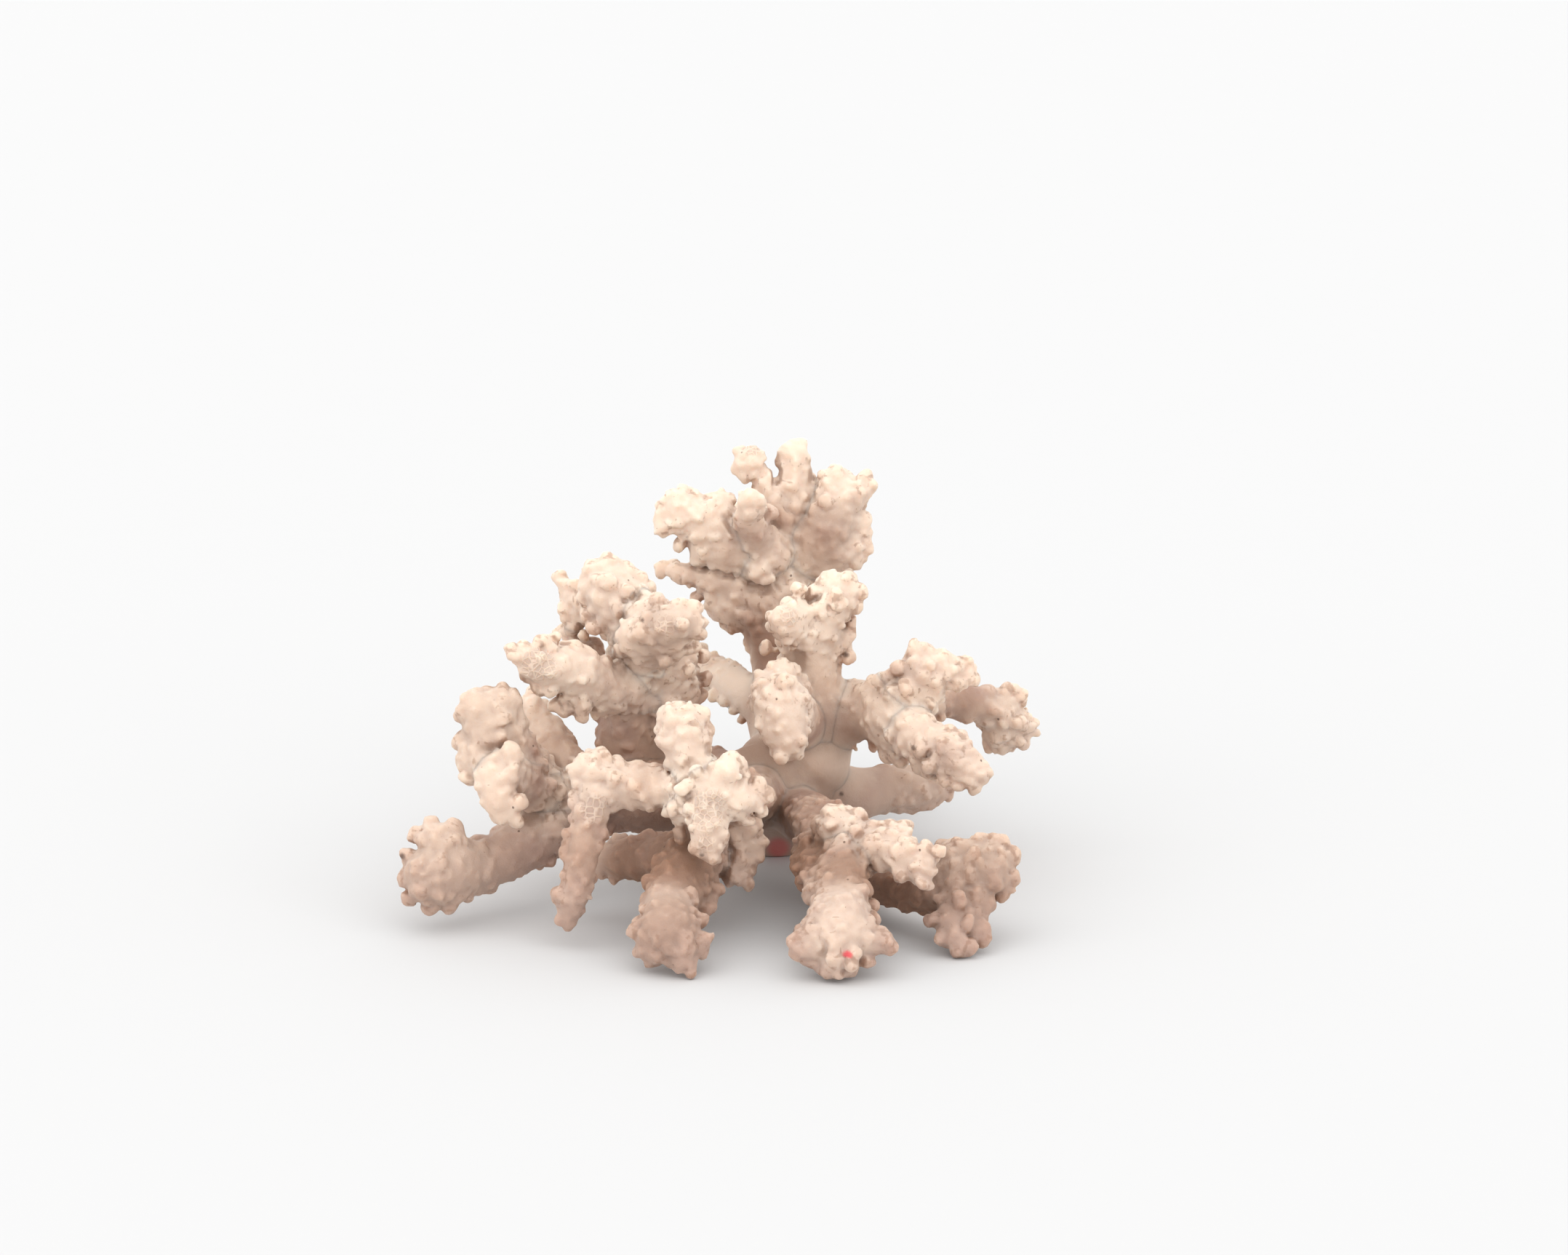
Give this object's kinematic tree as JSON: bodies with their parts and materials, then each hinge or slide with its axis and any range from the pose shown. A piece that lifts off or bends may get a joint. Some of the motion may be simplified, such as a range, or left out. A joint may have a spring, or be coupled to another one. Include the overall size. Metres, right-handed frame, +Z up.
{
  "type": "branching coral skeleton",
  "caption": "Branching coral skeleton with knobbly finger-like branches, cut off flat at the trunk, standing on the cut and two front feet as an ornament",
  "frame": {"origin": "the middle of the flat cut under the trunk", "axes": "+Z is up, away from the cut; -Y is the side that the picture shows, where the two feet are; +X is to the viewer's right"},
  "size_m": [0.1505, 0.1584, 0.0999],
  "materials": {
    "coral_stone": "matt, fine-grained, pale pinkish cream, lighter at the tips",
    "trunk_stone": "matt, smooth, browner, reddish at the broken underside"
  },
  "bodies": {
    "root": {"trunk": "trunk_stone", "crown_stem": "coral_stone", "crown_left_arm": "coral_stone", "crown_right_arm": "coral_stone", "crown_spires": "coral_stone", "upper_right_branch": "coral_stone", "oval_front_lobe": "coral_stone", "right_stem": "coral_stone", "right_upper_arm": "coral_stone", "right_lower_arm": "coral_stone", "right_rear_arm": "coral_stone", "right_side_branch": "coral_stone", "front_right_leg": "coral_stone", "front_right_arm": "coral_stone", "low_right_fan": "coral_stone", "upper_left_stem": "coral_stone", "upper_left_lobe": "coral_stone", "upper_left_front_lobe": "coral_stone", "upper_left_rear_lobe": "coral_stone", "left_middle_branch": "coral_stone", "left_rear_finger": "coral_stone", "left_stem": "coral_stone", "far_left_lobe": "coral_stone", "far_left_front_lobe": "coral_stone", "far_left_rear_finger": "coral_stone", "low_left_branch": "coral_stone", "front_left_leg": "coral_stone", "star_branch": "coral_stone", "star_finger": "coral_stone", "star_left_arm": "coral_stone", "star_low_finger": "coral_stone", "rear_left_branch": "coral_stone", "rear_upper_branch": "coral_stone", "crown_rear_arm": "coral_stone", "rear_low_branch": "coral_stone", "rear_right_branch": "coral_stone", "rear_foot": "coral_stone"}
  },
  "joints": []
}
